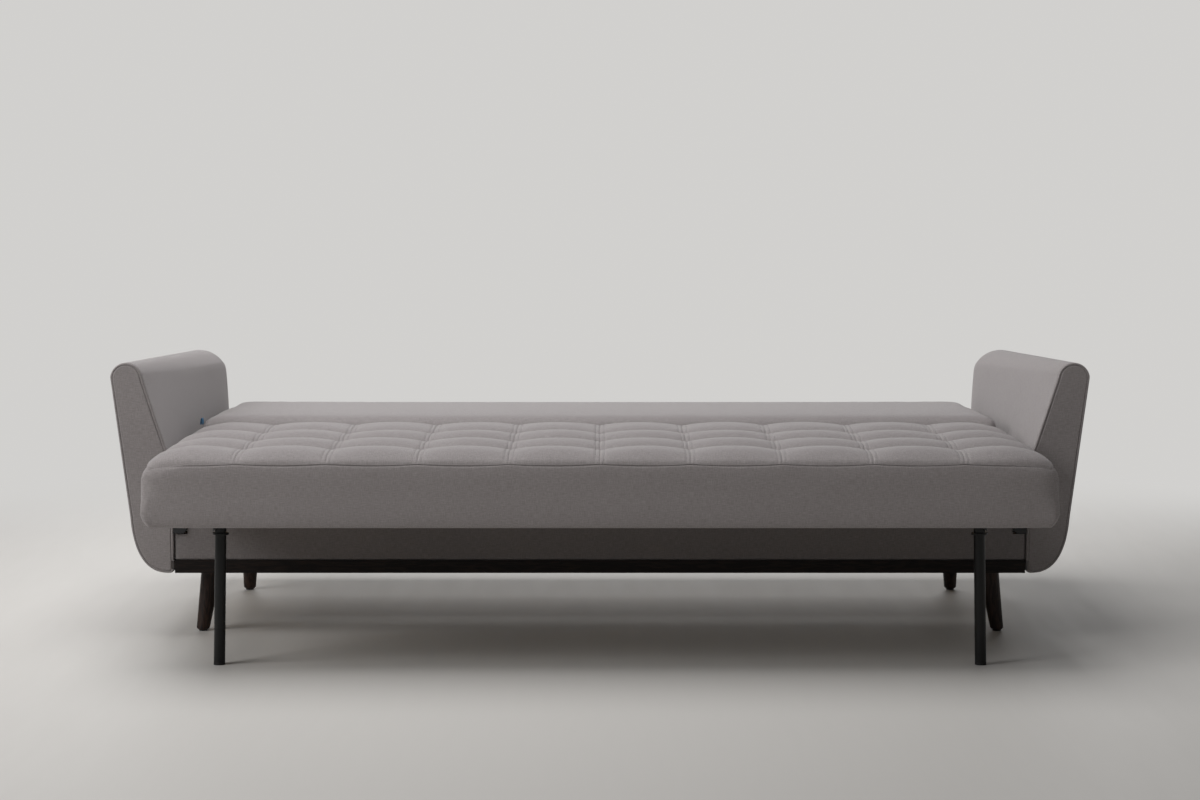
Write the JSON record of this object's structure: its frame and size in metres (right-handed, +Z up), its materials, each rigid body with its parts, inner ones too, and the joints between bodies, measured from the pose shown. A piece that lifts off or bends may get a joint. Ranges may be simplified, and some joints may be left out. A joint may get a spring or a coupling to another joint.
{
  "type": "futon sofa bed",
  "caption": "Sofa bed opened out flat: tufted sliding seat on swivel steel legs, plain fold-down back, flared padded arms on a wooden base with splayed feet.",
  "frame": {"origin": "on the floor, under the middle of the whole object in the bed position", "axes": "+X to the sitter's left along the seat's width, -Y towards the front, +Z up"},
  "size_m": [2.258, 1.361, 0.643],
  "materials": {
    "upholstery": "matte mid-grey woven linen-look cloth",
    "dark_wood": "dark walnut stain, satin",
    "pale_wood": "planed softwood, unfinished",
    "slat_wood": "laminated birch, satin",
    "black_steel": "black powder coat, satin",
    "zinc_steel": "bright zinc plate",
    "black_plastic": "matt",
    "nylon": "natural nylon, matt",
    "rubber": "matt"
  },
  "bodies": {
    "base": {"left_arm_pad": "upholstery", "right_arm_pad": "upholstery", "left_arm_panel": "pale_wood", "right_arm_panel": "pale_wood", "left_arm_frame": "pale_wood", "right_arm_frame": "pale_wood", "arm_bolts": "zinc_steel", "left_side_beam": "pale_wood", "right_side_beam": "pale_wood", "front_plinth_rail": "dark_wood", "fascia_panel": "upholstery", "front_beam": "pale_wood", "rear_beam": "pale_wood", "rear_rail": "dark_wood", "cross_braces": "pale_wood", "back_bumpers": "rubber", "front_left_wooden_leg": "dark_wood", "front_right_wooden_leg": "dark_wood", "rear_left_wooden_leg": "dark_wood", "rear_right_wooden_leg": "dark_wood", "leg_plates": "zinc_steel", "leg_bolts": "zinc_steel", "leg_glides": "black_plastic", "left_slide_channel": "black_steel", "right_slide_channel": "black_steel", "channel_stops": "black_plastic", "channel_screws": "zinc_steel"},
    "seat": {"seat_cushion": "upholstery", "seat_front_tube": "black_steel", "seat_rear_tube": "black_steel", "left_seat_side_tube": "black_steel", "right_seat_side_tube": "black_steel", "seat_bearers": "black_steel", "seat_slats": "slat_wood", "seat_slat_holders": "black_plastic", "left_runner_plate": "black_steel", "right_runner_plate": "black_steel", "runner_glides": "nylon", "left_seat_hinge_plate": "black_steel", "right_seat_hinge_plate": "black_steel", "seat_hinge_studs": "zinc_steel", "hinge_pins": "zinc_steel", "left_leg_bracket": "black_steel", "right_leg_bracket": "black_steel", "leg_pins": "zinc_steel"},
    "back": {"back_cushion": "upholstery", "back_front_tube": "black_steel", "back_rear_tube": "black_steel", "left_back_side_tube": "black_steel", "right_back_side_tube": "black_steel", "back_bearers": "black_steel", "back_slats": "slat_wood", "back_slat_holders": "black_plastic", "left_back_hinge_plate": "black_steel", "right_back_hinge_plate": "black_steel", "back_hinge_studs": "zinc_steel"},
    "left_leg": {"left_steel_leg": "black_steel", "left_foot_cap": "rubber"},
    "right_leg": {"right_steel_leg": "black_steel", "right_foot_cap": "rubber"}
  },
  "joints": [
    {"name": "seat_slide", "type": "slide", "parent": "base", "child": "seat", "axis": [0, 1, 0], "range_m": [0, 0.44]},
    {"name": "back_fold", "type": "hinge", "parent": "seat", "child": "back", "pos_m": [0, 0.1255, 0.4], "axis": [1, 0, 0], "range_deg": [0, 78]},
    {"name": "right_leg_swivel", "type": "hinge", "parent": "seat", "child": "right_leg", "pos_m": [0.831, -0.5475, 0.312], "axis": [-0.7071, 0, -0.7071], "range_deg": [0, 180]},
    {"name": "left_leg_swivel", "type": "hinge", "parent": "seat", "child": "left_leg", "pos_m": [-0.831, -0.5475, 0.312], "axis": [-0.7071, 0, 0.7071], "range_deg": [0, 180]}
  ],
  "couplings": [
    {"joint": "right_leg_swivel", "follows": "seat_slide", "rad_per_m": 7.139},
    {"joint": "left_leg_swivel", "follows": "seat_slide", "rad_per_m": 7.139}
  ]
}
